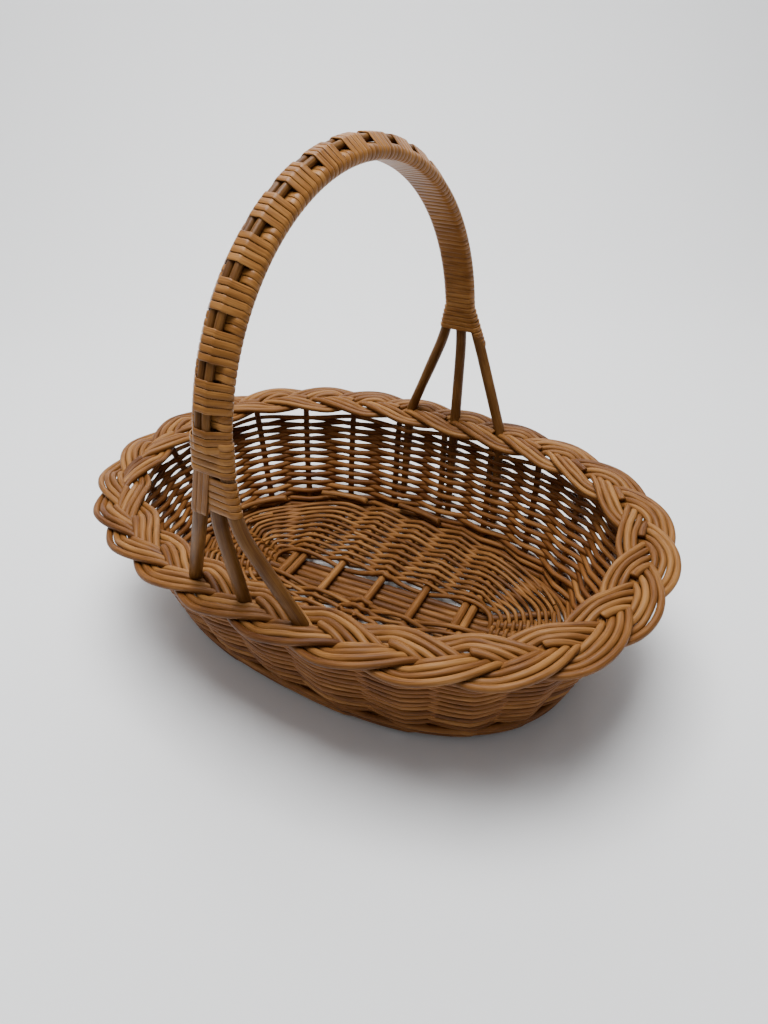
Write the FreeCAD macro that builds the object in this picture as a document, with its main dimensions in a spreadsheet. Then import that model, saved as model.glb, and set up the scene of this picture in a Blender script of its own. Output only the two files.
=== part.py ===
"""Oval woven market basket with a fixed bow handle, as separate rods, sticks and woven parts.

Frame: millimetres, +Z up. The origin is on the floor under the middle of the basket, X runs along
the length of the oval and the handle stands across it, in the plane X = 0.
"""
import FreeCAD, Part
import math
import os

from FreeCAD import Placement, Rotation, Vector

# alias, value, meaning. Lengths are in millimetres and angles in degrees.
DIMENSIONS = [
    ("oval_power", 2.4, "superellipse power of every oval outline"),
    ("rim_half_length", 199.0, "middle line of the plaited border, half length"),
    ("rim_half_width", 135.0, "middle line of the plaited border, half width"),
    ("rim_band", 42.0, "width of the plaited border"),
    ("rim_depth", 18.0, "height of the plaited border"),
    ("rim_level", 103.0, "height of the middle of the border"),
    ("foot_half_length", 162.8, "middle of the side wall at the floor, half length"),
    ("foot_half_width", 104.4, "middle of the side wall at the floor, half width"),
    ("wall_thickness", 10.4, "side weave, measured level: one stake and two weavers"),
    ("weave_top", 88.0, "top of the side weave; bare stakes show between it and the border"),
    ("wale_top", 16.0, "top of the upsett wale that turns the base into the side"),
    ("foot_rod_radius", 3.0, "rod that forms the bottom edge"),
    ("foot_wear", 0.2, "depth worn flat under the foot rod"),
    ("stake_count", 24, "side stakes, one for each crossing of the border"),
    ("stake_radius", 2.4, "side stake"),
    ("stake_top", 92.9, "stakes stop here, just under the border that their tops are plaited into"),
    ("stake_shift", 9.0, "stakes stand this far round from the handle legs"),
    ("foot_crowding", 0.021, "share of the way round by which the stakes' feet move towards the ends"),
    ("stick_radius", 3.2, "base stick"),
    ("long_stick_count", 5, "sticks lying side by side along the base"),
    ("long_stick_level", 5.0, "height of the middle of the long sticks"),
    ("stick_gap", 0.2, "gap between neighbouring base sticks"),
    ("bundle_half_length", 95.0, "straight part of the long sticks, half length"),
    ("fan_length", 48.0, "length of the opened ends of the long sticks"),
    ("fan_angle", 13.0, "angle between neighbouring opened ends"),
    ("cross_spacing", 39.0, "spacing of the cross sticks along the base"),
    ("cross_margin", 9.0, "cross sticks end this far inside the edge of the base"),
    ("base_turn", 6.0, "the base sticks lie this much askew to the rim"),
    ("base_bottom", 6.4, "underside of the base weave"),
    ("base_top", 16.6, "upper side of the base weave"),
    ("handle_radius", 138.5, "bow of the handle rods"),
    ("handle_centre", 195.0, "height of the centre of the bow"),
    ("bow_start", 8.0, "the bow runs from this angle above level on one side to the other"),
    ("bow_rod_radius", 3.7, "handle bow rod"),
    ("bow_rod_spacing", 8.0, "spacing of the three bow rods in the grip"),
    ("splay_drop", 12.0, "straight length between the bow and the splay of the legs"),
    ("splay_bend", 52.0, "radius where the legs splay"),
    ("knee_drop", 6.0, "the legs bend this far below the end of the wrapping"),
    ("front_knee_spread", 13.5, "side legs stand this far from the middle leg at the front bend"),
    ("back_knee_spread", 16.0, "side legs stand this far from the middle leg at the back bend"),
    ("splay_room", 1.3, "the wrapping bulges this much over the bend of the side legs"),
    ("leg_spread", 44.0, "side legs stand this far from the middle leg at the border"),
    ("border_bend", 36.0, "radius where the legs turn down into the side weave"),
    ("leg_tip_level", 24.0, "height of the hidden leg tips in the side weave"),
    ("listing_radius", 2.3, "thin rods on the outer face of the grip"),
    ("listing_spacing", 5.2, "spacing of the two thin rods"),
    ("cane_thickness", 0.9, "flat wrapping cane"),
    ("front_wrap_end", 176.0, "lower end of the wrapping at the front"),
    ("back_wrap_end", 181.0, "lower end of the wrapping at the back"),
    ("clearance", 0.15, "gap round a rod that passes through a woven part"),
]

CROSS_STICK_SLOTS = (-2.09, -1.91, -1.0, 0.0, 1.0, 1.91, 2.09)  # in cross spacings, pairs at the ends
OUTLINE_POINTS = 48
ARC_LENGTH_STEPS = 3600

doc = FreeCAD.newDocument("market_basket")
sheet = doc.addObject("Spreadsheet::Sheet", "Dimensions")
nodes = []


def fill_sheet():
    """Write the driving dimensions as plain numbers with an alias and a note each."""
    for row, (alias, value, meaning) in enumerate(DIMENSIONS, start=1):
        sheet.set("A%d" % row, meaning)
        sheet.set("B%d" % row, str(value))
        sheet.setAlias("B%d" % row, alias)
    doc.recompute()


def size(alias):
    """The value of one cell."""
    return float(sheet.get(alias))


def bind(thing, **properties):
    """Bind properties of an object to sheet expressions."""
    for name, formula in properties.items():
        thing.setExpression(name, formula)


def node(thing, label):
    """Name an object as a finished sub-part."""
    thing.Label = label
    nodes.append(thing)
    return thing


# ---------------------------------------------------------------- outlines

def oval_point(half_length, half_width, angle, level):
    """The point of a superellipse in the direction of an angle in radians."""
    power = size("oval_power")
    across = abs(math.cos(angle) / half_length) ** power
    along = abs(math.sin(angle) / half_width) ** power
    reach = (across + along) ** (-1.0 / power)
    return Vector(reach * math.cos(angle), reach * math.sin(angle), level)


def oval_wire(half_length, half_width, level):
    """A closed superellipse outline at one level."""
    curve = Part.BSplineCurve()
    turns = [2 * math.pi * step / OUTLINE_POINTS for step in range(OUTLINE_POINTS)]
    curve.interpolate([oval_point(half_length, half_width, turn, level) for turn in turns], PeriodicFlag=True)
    return Part.Wire([curve.toShape()])


def wire_object(name, wire):
    """Keep a wire in the document as a section or spine."""
    thing = doc.addObject("Part::Feature", name)
    thing.Shape = wire
    return thing


def wall_half_sizes(level):
    """Half length and half width of the middle of the side wall at a level."""
    part = level / (size("rim_level") - size("rim_depth") / 2)
    half_length = size("foot_half_length") + part * (size("rim_half_length") - size("foot_half_length"))
    half_width = size("foot_half_width") + part * (size("rim_half_width") - size("foot_half_width"))
    return half_length, half_width


def wall_point(angle, level):
    """The point in the middle of the side wall at an angle and a level."""
    half_length, half_width = wall_half_sizes(level)
    return oval_point(half_length, half_width, angle, level)


def angles_round(half_length, half_width, shift, crowding):
    """Angles of the stakes' places round an oval, moved on by a shift in millimetres.

    The places are even when crowding is 0, and closer together at the two ends when it is more.
    """
    step = 2 * math.pi / ARC_LENGTH_STEPS
    directions = [-math.pi / 2 + i * step for i in range(ARC_LENGTH_STEPS + 1)]
    points = [oval_point(half_length, half_width, direction, 0) for direction in directions]
    travelled = [0.0]
    for before, after in zip(points, points[1:]):
        travelled.append(travelled[-1] + (after - before).Length)
    count = int(size("stake_count"))
    angles = []
    for place in range(count):
        part = place / count + crowding * math.sin(4 * math.pi * place / count)
        target = (travelled[-1] * part + shift) % travelled[-1]
        index = next(i for i, length in enumerate(travelled) if length >= target)
        angles.append(directions[index])
    return angles


def border_places(shift, level):
    """Points of the wall at a level, evenly spaced along the border and moved on by a shift."""
    angles = angles_round(size("rim_half_length"), size("rim_half_width"), shift, 0)
    return [wall_point(angle, level) for angle in angles]


def foot_places(shift):
    """Points of the wall at the ground, closer together at the ends and moved on by a shift."""
    angles = angles_round(size("foot_half_length"), size("foot_half_width"), shift, size("foot_crowding"))
    return [wall_point(angle, 0) for angle in angles]


def point_at_level(low, high, level):
    """The point of a straight line at a level."""
    return low + (high - low) * ((level - low.z) / (high.z - low.z))


# ---------------------------------------------------------------- ways of making a piece

def loft(name, *sections):
    """A solid between closed sections."""
    thing = doc.addObject("Part::Loft", name)
    thing.Sections = list(sections)
    thing.Solid = True
    return thing


def cut(name, base, tool):
    """One solid less another."""
    thing = doc.addObject("Part::Cut", name)
    thing.Base = base
    thing.Tool = tool
    return thing


def group(name, members):
    """Several tools as one."""
    thing = doc.addObject("Part::Compound", name)
    thing.Links = members
    return thing


def rod_between(name, start, end, radius):
    """A straight round rod; the radius is a sheet formula."""
    rod = doc.addObject("Part::Cylinder", name)
    rod.Height = (end - start).Length
    bind(rod, Radius=radius)
    rod.Placement = Placement(start, Rotation(Vector(0, 0, 1), end - start))
    return rod


def sweep(name, profile, spine):
    """A solid swept by a profile along every edge of a spine."""
    thing = doc.addObject("Part::Sweep", name)
    thing.Sections = [profile]
    thing.Spine = (spine, ["Edge%d" % (i + 1) for i in range(len(spine.Shape.Edges))])
    thing.Solid = True
    thing.Frenet = False
    thing.Transition = "Transformed"
    return thing


def round_profile(name, spine, radius):
    """A circle at the start of a spine, square to it; the radius is a sheet formula."""
    first = spine.Shape.Edges[0]
    profile = doc.addObject("Part::Circle", name)
    bind(profile, Radius=radius)
    tangent = first.tangentAt(first.FirstParameter)
    profile.Placement = Placement(first.valueAt(first.FirstParameter), Rotation(Vector(0, 0, 1), tangent))
    return profile


def bent_rod(name, spine, radius):
    """A round rod along a spine of straight runs and arcs."""
    return sweep(name, round_profile(name + "_profile", spine, radius), spine)


def rounded_path(corners):
    """Edges through corners given as (point, bend radius); the ends and straight corners have no bend."""
    edges = []
    start = corners[0][0]
    for (before, _), (corner, bend), (after, _) in zip(corners, corners[1:], corners[2:]):
        inward = (before - corner).normalize()
        outward = (after - corner).normalize()
        half_turn = (math.pi - inward.getAngle(outward)) / 2
        if half_turn < 0.001:
            continue
        run = bend * math.tan(half_turn)
        middle = (inward + outward).normalize() * (bend / math.cos(half_turn) - bend)
        arc_start = corner + inward * run
        arc_end = corner + outward * run
        edges.append(Part.LineSegment(start, arc_start).toShape())
        edges.append(Part.Arc(arc_start, corner + middle, arc_end).toShape())
        start = arc_end
    edges.append(Part.LineSegment(start, corners[-1][0]).toShape())
    return edges


def hull_wire(circles, origin, across, outward):
    """The band round some circles (across, outward, radius), listed anticlockwise, in a plane."""
    def spot(centre, normal, radius):
        flat = (centre[0] + radius * normal[0], centre[1] + radius * normal[1])
        return origin + across * flat[0] + outward * flat[1]

    normals = []
    for here, there in zip(circles, circles[1:] + circles[:1]):
        step = (there[0] - here[0], there[1] - here[1])
        length = math.hypot(*step)
        ahead = (step[0] / length, step[1] / length)
        lean = (here[2] - there[2]) / length
        upright = math.sqrt(1 - lean * lean)
        normals.append((upright * ahead[1] + lean * ahead[0], -upright * ahead[0] + lean * ahead[1]))
    edges = []
    for i, circle in enumerate(circles):
        arriving = normals[i - 1]
        leaving = normals[i]
        start_turn = math.atan2(arriving[1], arriving[0])
        turn = (math.atan2(leaving[1], leaving[0]) - start_turn) % (2 * math.pi)
        middle = (math.cos(start_turn + turn / 2), math.sin(start_turn + turn / 2))
        arc = [spot(circle, normal, circle[2]) for normal in (arriving, middle, leaving)]
        following = circles[(i + 1) % len(circles)]
        edges.append(Part.Arc(*arc).toShape())
        edges.append(Part.LineSegment(arc[2], spot(following, leaving, following[2])).toShape())
    return Part.Wire(edges)


# ---------------------------------------------------------------- base

def foot_ring():
    """The rod round the bottom edge, worn flat where it rests on the floor."""
    radius = size("foot_rod_radius")
    half_length = size("foot_half_length")
    half_width = size("foot_half_width")
    level = radius - size("foot_wear")
    spine = oval_wire(half_length, half_width, level)
    circle = Part.Wire([Part.makeCircle(radius, Vector(half_length, 0, level), Vector(0, 1, 0))])
    rod = spine.makePipeShell([circle], True, False)
    worn_away = Part.makeBox(4 * half_length, 4 * half_width, radius,
                             Vector(-2 * half_length, -2 * half_width, -radius))
    ring = doc.addObject("Part::Feature", "foot_ring")
    ring.Shape = rod.cut(worn_away)
    return node(ring, "foot_ring")


def base_turned(x, y, level):
    """A place on the base, given in the base sticks' own askew directions."""
    turn = math.radians(size("base_turn"))
    return Vector(x * math.cos(turn) - y * math.sin(turn), x * math.sin(turn) + y * math.cos(turn), level)


def long_stick_path(place):
    """One long stick: straight in the bundle, its two ends opened into a fan."""
    pitch = 2 * size("stick_radius") + size("stick_gap")
    side = place * pitch
    level = size("long_stick_level")
    half = size("bundle_half_length")
    angle = math.radians(place * size("fan_angle"))
    reach = half + size("fan_length") * math.cos(angle)
    spread = side + size("fan_length") * math.sin(angle)
    bend = 10 * size("stick_radius")
    corners = [(base_turned(-reach, spread, level), 0), (base_turned(-half, side, level), bend),
               (base_turned(half, side, level), bend), (base_turned(reach, spread, level), 0)]
    return rounded_path(corners) if place else [Part.LineSegment(corners[0][0], corners[-1][0]).toShape()]


def long_sticks():
    """The bundle of long sticks and a slightly thicker copy of it to cut channels with."""
    count = int(size("long_stick_count"))
    tools = []
    for index in range(count):
        name = "base_long_stick_%d" % (index + 1)
        spine = wire_object(name + "_spine", Part.Wire(long_stick_path(index - (count - 1) / 2)))
        node(bent_rod(name, spine, "Dimensions.stick_radius"), name)
        tools.append(bent_rod(name + "_channel", spine, "Dimensions.stick_radius + Dimensions.clearance"))
    return tools


def cross_stick_half_length(x):
    """Half the length of a cross stick that reaches nearly to the edge of the base."""
    power = size("oval_power")
    half_length = size("foot_half_length") - size("cross_margin")
    half_width = size("foot_half_width") - size("cross_margin")
    return half_width * (1 - abs(x / half_length) ** power) ** (1 / power)


def cross_sticks():
    """The short sticks across the top of the bundle, and thicker copies to cut channels with."""
    level = size("long_stick_level") + 2 * size("stick_radius") + size("stick_gap")
    tools = []
    for index, slot in enumerate(CROSS_STICK_SLOTS):
        name = "base_cross_stick_%d" % (index + 1)
        x = slot * size("cross_spacing")
        half = cross_stick_half_length(x)
        node(rod_between(name, base_turned(x, -half, level), base_turned(x, half, level),
                         "Dimensions.stick_radius"), name)
        tools.append(rod_between(name + "_channel", base_turned(x, -half - 1, level),
                                 base_turned(x, half + 1, level),
                                 "Dimensions.stick_radius + Dimensions.clearance"))
    return tools


def base_weave(stick_tools):
    """The woven floor: open over the bundle, with a channel for every stick."""
    inset = size("wall_thickness") / 2 + 2 * size("clearance")
    outline = (size("foot_half_length") - inset, size("foot_half_width") - inset)
    plate = loft("base_plate", wire_object("base_lower", oval_wire(*outline, size("base_bottom"))),
                 wire_object("base_upper", oval_wire(*outline, size("base_top"))))
    slot = doc.addObject("Part::Box", "bundle_opening")
    bind(slot, Length="2 * Dimensions.bundle_half_length",
         Width="Dimensions.long_stick_count * (2 * Dimensions.stick_radius + Dimensions.stick_gap)",
         Height="2 * Dimensions.base_top")
    doc.recompute()
    corner = base_turned(-slot.Length.Value / 2, -slot.Width.Value / 2, 0)
    slot.Placement = Placement(corner, Rotation(Vector(0, 0, 1), size("base_turn")))
    return node(cut("base_weave", plate, group("base_tools", [slot] + stick_tools)), "base_weave")


# ---------------------------------------------------------------- side

def side_stakes():
    """The upright stakes, from the upsett to the underside of the border, and their channels."""
    bottom = size("foot_rod_radius") * 2 + 1
    top = size("stake_top")
    tools = []
    for index, (foot, head) in enumerate(zip(foot_places(0), border_places(size("stake_shift"), top))):
        name = "side_stake_%02d" % (index + 1)
        node(rod_between(name, point_at_level(foot, head, bottom), head, "Dimensions.stake_radius"), name)
        tools.append(rod_between(name + "_channel", foot, head,
                                 "Dimensions.stake_radius + Dimensions.clearance"))
    return tools


def wall_ring(name, bottom, top):
    """A piece of the side wall between two levels, open inside."""
    half = size("wall_thickness") / 2
    skins = []
    for side, offset in (("outer", half), ("inner", -half)):
        sections = []
        for level in (bottom, top):
            half_length, half_width = wall_half_sizes(level)
            wire = oval_wire(half_length + offset, half_width + offset, level)
            sections.append(wire_object("%s_%s_section" % (name, side), wire))
        skins.append(loft("%s_%s" % (name, side), *sections))
    return cut(name + "_shell", *skins)


def upsett_wale(stake_tools):
    """The thick wale that locks the stakes where the base turns up into the side."""
    ring = wall_ring("wale", 2 * size("foot_rod_radius"), size("wale_top"))
    return node(cut("upsett_wale", ring, group("wale_tools", stake_tools)), "upsett_wale")


def side_weave(tools):
    """The randed side wall, with a channel for every stake and handle leg."""
    ring = wall_ring("side", size("wale_top") + size("clearance"), size("weave_top"))
    return node(cut("side_weave", ring, group("side_tools", tools)), "side_weave")


def border_plait(leg_tools):
    """The plaited border, with holes for the handle legs."""
    half_length = size("rim_half_length")
    spine = wire_object("border_spine", oval_wire(half_length, size("rim_half_width"), size("rim_level")))
    profile = doc.addObject("Part::Ellipse", "border_profile")
    bind(profile, MajorRadius="Dimensions.rim_band / 2", MinorRadius="Dimensions.rim_depth / 2")
    profile.Placement = Placement(Vector(half_length, 0, size("rim_level")), Rotation(Vector(1, 0, 0), 90))
    ring = sweep("border_ring", profile, spine)
    return node(cut("border_plait", ring, group("border_tools", leg_tools)), "border_plait")


# ---------------------------------------------------------------- handle

def bow_place(x, end):
    """Where the bow ends above one border (end is -1 in front and 1 behind), and its way down."""
    start = math.radians(size("bow_start"))
    radius = size("handle_radius")
    place = Vector(x, end * radius * math.cos(start), size("handle_centre") + radius * math.sin(start))
    down = Vector(0, end * math.sin(start), -math.cos(start))
    return place, down


def leg_corners(side, end):
    """Corners of one leg from its hidden tip up to the bow; side is -1, 0 or 1."""
    rims = border_places(0, size("rim_level"))
    steps = round(side) if end < 0 else len(rims) // 2 - round(side)
    rim = rims[steps]
    rim.x = side * size("leg_spread")
    foot = foot_places(-size("stake_shift"))[steps]
    place, down = bow_place(side * size("bow_rod_spacing"), end)
    splay = place + down * size("splay_drop")
    word = "front" if end < 0 else "back"
    knee_level = size(word + "_wrap_end") - size("knee_drop")
    knee = splay + down * ((knee_level - splay.z) / down.z)
    knee.x = side * size(word + "_knee_spread")
    return [(point_at_level(foot, rim, size("leg_tip_level")), 0), (rim, size("border_bend")),
            (knee, size("splay_bend")), (splay, size("splay_bend")), (place, 0)]


def bow_spine(side):
    """The whole path of one bow rod: up the front legs, over the bow and down behind."""
    front = rounded_path(leg_corners(side, -1))
    back = rounded_path(leg_corners(side, 1)[::-1])
    front_place = bow_place(side * size("bow_rod_spacing"), -1)[0]
    back_place = bow_place(side * size("bow_rod_spacing"), 1)[0]
    top = Vector(front_place.x, 0, size("handle_centre") + size("handle_radius"))
    return Part.Wire(front + [Part.Arc(front_place, top, back_place).toShape()] + back)


def bow_rods():
    """The three handle rods, and thicker copies to cut their holes with."""
    tools = []
    for side, word in ((-1, "left"), (0, "centre"), (1, "right")):
        name = "bow_rod_" + word
        spine = wire_object(name + "_spine", bow_spine(side))
        node(bent_rod(name, spine, "Dimensions.bow_rod_radius"), name)
        tools.append(bent_rod(name + "_channel", spine, "Dimensions.bow_rod_radius + Dimensions.clearance"))
    return tools


def listing_offset():
    """How far the thin rods lie outside the bow rods, with one layer of cane between."""
    return size("bow_rod_radius") + size("cane_thickness") + size("listing_radius")


def listing_rods():
    """The two thin rods along the outer face of the grip."""
    for side, word in ((-1, "left"), (1, "right")):
        rod = doc.addObject("Part::Torus", "listing_rod_" + word)
        bind(rod, Radius1="Dimensions.handle_radius + Dimensions.bow_rod_radius"
                          " + Dimensions.cane_thickness + Dimensions.listing_radius",
             Radius2="Dimensions.listing_radius", Angle3="180 - 2 * Dimensions.bow_start")
        centre = Vector(side * size("listing_spacing") / 2, 0, size("handle_centre"))
        upright = Rotation(Vector(0, -1, 0), Vector(0, 0, 1), Vector(-1, 0, 0), "ZXY")
        rod.Placement = Placement(centre, upright * Rotation(Vector(0, 0, 1), size("bow_start")))
        node(rod, "listing_rod_" + word)


def grip_circles(skin):
    """The rods inside the wrapping as circles, grown by a skin: bow rods below, thin rods above."""
    bow = size("bow_rod_spacing")
    thin = size("listing_spacing") / 2
    bow_radius = size("bow_rod_radius") + skin
    thin_radius = size("listing_radius") + skin
    return [(-bow, 0, bow_radius), (bow, 0, bow_radius),
            (thin, listing_offset(), thin_radius), (-thin, listing_offset(), thin_radius)]


def handle_wrap():
    """The cane wound round the bow rods and the thin rods, as one sleeve along the bow."""
    place = bow_place(0, -1)[0]
    across = Vector(1, 0, 0)
    outward = (place - Vector(0, 0, size("handle_centre"))).normalize()
    outer = hull_wire(grip_circles(size("cane_thickness")), place, across, outward)
    inner = hull_wire(grip_circles(size("clearance")), place, across, outward)
    profile = doc.addObject("Part::Feature", "wrap_profile")
    profile.Shape = Part.Face(outer).cut(Part.Face(inner))
    sleeve = doc.addObject("Part::Revolution", "handle_wrap")
    sleeve.Source = profile
    sleeve.Axis = Vector(-1, 0, 0)
    sleeve.Base = Vector(0, 0, size("handle_centre"))
    bind(sleeve, Angle="180 - 2 * Dimensions.bow_start")
    return node(sleeve, "handle_wrap")


def wrap_end(word, end, level, rod_tools):
    """The wrapping that spreads with the legs below the bow, down to a level."""
    place, down = bow_place(0, end)
    knee, splay = leg_corners(0, end)[2][0], leg_corners(0, end)[3][0]
    side_knee = leg_corners(1, end)[2][0]
    share = (splay.z - level) / (splay.z - knee.z)
    grip_half = size("bow_rod_spacing")
    lower_half = grip_half + (side_knee.x - grip_half) * share
    square_to_bow = Vector(0, -down.z, down.y)
    level_back = Vector(0, 1, 0)
    stations = [(place + down * size("clearance"), grip_half, square_to_bow),
                (splay, grip_half + size("splay_room"), level_back),
                (splay + (knee - splay) * share, lower_half, level_back)]
    radius = size("bow_rod_radius") + size("cane_thickness")
    sections = []
    for centre, half, back in stations:
        wire = hull_wire([(-half, 0, radius), (half, 0, radius)], centre, Vector(1, 0, 0), back)
        sections.append(wire_object("wrap_end_%s_section" % word, wire))
    body = loft("wrap_end_%s_body" % word, *sections)
    body.Ruled = True
    tools = group("wrap_end_%s_tools" % word, rod_tools)
    return node(cut("wrap_end_" + word, body, tools), "wrap_end_" + word)


# ---------------------------------------------------------------- assembly

def check_and_export():
    """Stop if anything failed, then write each sub-part to its own STEP file."""
    doc.recompute()
    for thing in doc.Objects:
        if "Invalid" in thing.State or "Error" in thing.State:
            raise SystemExit("failed object: %s %s" % (thing.Name, thing.State))
    os.makedirs("parts", exist_ok=True)
    for thing in nodes:
        shape = thing.Shape
        if shape.isNull() or not shape.isValid():
            raise SystemExit("bad shape: " + thing.Label)
        shape.exportStep("parts/%s.step" % thing.Label)
        print("%-22s solids %d  volume %8.1f mm3" % (thing.Label, len(shape.Solids), shape.Volume))


fill_sheet()
foot_ring()
base_tools = long_sticks() + cross_sticks()
base_weave(base_tools)
stake_tools = side_stakes()
rod_tools = bow_rods()
upsett_wale(stake_tools)
side_weave(stake_tools + rod_tools)
border_plait(rod_tools)
listing_rods()
handle_wrap()
wrap_end("front", -1, size("front_wrap_end"), rod_tools)
wrap_end("back", 1, size("back_wrap_end"), rod_tools)
check_and_export()
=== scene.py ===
"""The looks of the woven market basket, with every rod, weaver and turn of cane as real geometry.

Sizes are in millimetres unless a name says otherwise, and meshes are scaled to metres when made.
X runs along the oval, the handle stands in the plane X = 0, and the front is towards -Y.
Rods are given by their radius. An "end" of the handle is -1 at the front and 1 at the back.
"""
import math

import bpy
import numpy as np
from mathutils import Matrix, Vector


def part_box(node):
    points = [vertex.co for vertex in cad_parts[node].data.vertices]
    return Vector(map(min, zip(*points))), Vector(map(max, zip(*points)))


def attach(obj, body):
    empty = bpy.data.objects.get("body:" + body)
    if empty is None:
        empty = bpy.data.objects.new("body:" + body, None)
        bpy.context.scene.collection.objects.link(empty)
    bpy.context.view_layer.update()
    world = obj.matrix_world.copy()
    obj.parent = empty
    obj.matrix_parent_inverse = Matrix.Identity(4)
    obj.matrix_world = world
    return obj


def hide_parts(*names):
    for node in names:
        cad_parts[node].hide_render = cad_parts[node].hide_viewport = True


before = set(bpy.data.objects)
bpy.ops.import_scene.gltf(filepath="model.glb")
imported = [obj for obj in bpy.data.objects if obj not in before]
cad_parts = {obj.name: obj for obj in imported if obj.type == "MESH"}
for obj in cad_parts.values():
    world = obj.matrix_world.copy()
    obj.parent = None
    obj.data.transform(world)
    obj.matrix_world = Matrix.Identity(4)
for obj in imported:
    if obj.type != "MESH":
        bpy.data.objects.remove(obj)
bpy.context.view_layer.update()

METRES_PER_MM = 0.001
RNG = np.random.default_rng(7)


def cad_box(node):
    """Lowest and highest corner of a CAD node in millimetres."""
    low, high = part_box(node)
    return np.array(low) / METRES_PER_MM, np.array(high) / METRES_PER_MM


# ---------------------------------------------------------------- sizes, from the frame

OVAL_POWER = 2.4                # of the superellipse of the border, the side and the foot
UNITS = 24                      # stakes, and crossings of the border plait

RIM_BAND = 42.0                 # width of the border
RIM_LOW, RIM_HIGH = cad_box("border_plait")
RIM_LEVEL = (RIM_LOW[2] + RIM_HIGH[2]) / 2
RIM_HALF = RIM_HIGH[:2] - RIM_BAND / 2
WALL_JOINS_RIM = RIM_LOW[2]     # level at which the slope of the wall meets the border

FOOT_ROD = 3.0
FOOT_HIGH = cad_box("foot_ring")[1]
FOOT_HALF = FOOT_HIGH[:2] - FOOT_ROD
FOOT_LEVEL = FOOT_HIGH[2] - FOOT_ROD

STAKE_RADIUS = 2.85
STAKE_SHIFT = 9.0               # from the place of a leg to the stake beside it, along the border
FOOT_CROWDING = 0.021           # share of the way round by which the stakes' feet move to the ends
STAKE_BOTTOM = cad_box("side_stake_01")[0][2]
WEAVE_BOTTOM = cad_box("side_weave")[0][2]
WEAVE_TOP = cad_box("side_weave")[1][2]

STICK_RADIUS = 3.2
LONG_STICK_LEVEL = cad_box("base_long_stick_3")[0][2] + STICK_RADIUS
CROSS_STICK_LEVEL = cad_box("base_cross_stick_4")[0][2] + STICK_RADIUS
LONG_STICK_PLACES = (-2, -1, 0, 1, 2)
STICK_PITCH = 6.6
BUNDLE_HALF = 95.0              # half length of the part where the long sticks lie side by side
FAN_LENGTH = 48.0               # beyond which their ends are opened over this length
FAN_ANGLE = math.radians(13.0)  # between one opened end and the next
CROSS_SPACING = 39.0
CROSS_SLOTS = (-2.09, -1.91, -1.0, 0.0, 1.0, 1.91, 2.09)    # places in spacings, a pair at each end
BASE_TURN = math.radians(6.0)   # the sticks lie this much askew

BOW_ROD = 3.7
BOW_SPACING = 8.0               # from the middle of one bow rod to the next
BOW_RADIUS = 138.5
BOW_CENTRE = cad_box("bow_rod_centre")[1][2] - BOW_ROD - BOW_RADIUS
BOW_START = math.radians(8.0)   # the bow's arc ends this far above the level of its centre
SPLAY_DROP = 12.0               # below which the legs part
KNEE_DROP = 6.0                 # from the end of the winding down to the knee of a leg
KNEE_SPREAD = {-1: 13.5, 1: 16.0}
LEG_SPREAD = 44.0               # from the middle leg to a side leg, at the border
LEG_TIP_LEVEL = 24.0
LEG_TAPER = 40.0                # height over which a leg narrows to the rod of the grip
LISTING_ROD = 2.3
LISTING_SPACING = 5.2
CANE = 0.9                      # thickness
LISTING_OFFSET = BOW_ROD + CANE + LISTING_ROD
WRAP_END = {-1: cad_box("wrap_end_front")[0][2], 1: cad_box("wrap_end_back")[0][2]}


# ---------------------------------------------------------------- ovals

def oval_points(half, angles, power=OVAL_POWER):
    """Points of a superellipse in the directions of some angles."""
    cos, sin = np.cos(angles), np.sin(angles)
    reach = (np.abs(cos / half[0]) ** power + np.abs(sin / half[1]) ** power) ** (-1 / power)
    return np.stack([reach * cos, reach * sin], axis=-1)


class Track:
    """The outline of an oval, measured by length from the front, anticlockwise from above."""

    def __init__(self, half, steps=2880):
        self.angles = -math.pi / 2 + np.linspace(0, 2 * math.pi, steps + 1)
        self.points = oval_points(half, self.angles)
        steps_along = np.linalg.norm(np.diff(self.points, axis=0), axis=1)
        self.length = np.concatenate([[0], np.cumsum(steps_along)])
        self.total = self.length[-1]

    def angle(self, along):
        """Direction from the middle of the basket at a length along the outline."""
        turns = np.floor(np.asarray(along) / self.total)
        return np.interp(np.mod(along, self.total), self.length, self.angles) + 2 * math.pi * turns

    def place(self, along, outward):
        """Points beside the outline, at lengths along it and distances outward."""
        rest = np.mod(along, self.total)
        step = 0.5
        ahead = self._at(np.mod(rest + step, self.total)) - self._at(np.mod(rest - step, self.total))
        ahead /= np.linalg.norm(ahead, axis=-1, keepdims=True)
        normal = np.stack([ahead[..., 1], -ahead[..., 0]], axis=-1)
        return self._at(rest) + normal * np.asarray(outward)[..., None]

    def _at(self, rest):
        return np.stack([np.interp(rest, self.length, self.points[:, i]) for i in (0, 1)], axis=-1)


RIM_TRACK = Track(RIM_HALF)
FOOT_TRACK = Track(FOOT_HALF)
PITCH = RIM_TRACK.total / UNITS


def upright_angle(group, shift, level):
    """Direction at a level of a stake (shift is STAKE_SHIFT) or a leg (shift is 0)."""
    top = RIM_TRACK.angle(group * PITCH + shift)
    share = group / UNITS + FOOT_CROWDING * np.sin(4 * math.pi * group / UNITS)
    foot = FOOT_TRACK.angle(share * FOOT_TRACK.total + shift - STAKE_SHIFT)
    return foot + (top - foot) * np.asarray(level) / WALL_JOINS_RIM


def wall_half(level):
    """Half length and half width of the middle of the wall at a level."""
    return FOOT_HALF + (RIM_HALF - FOOT_HALF) * level / WALL_JOINS_RIM


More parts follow.
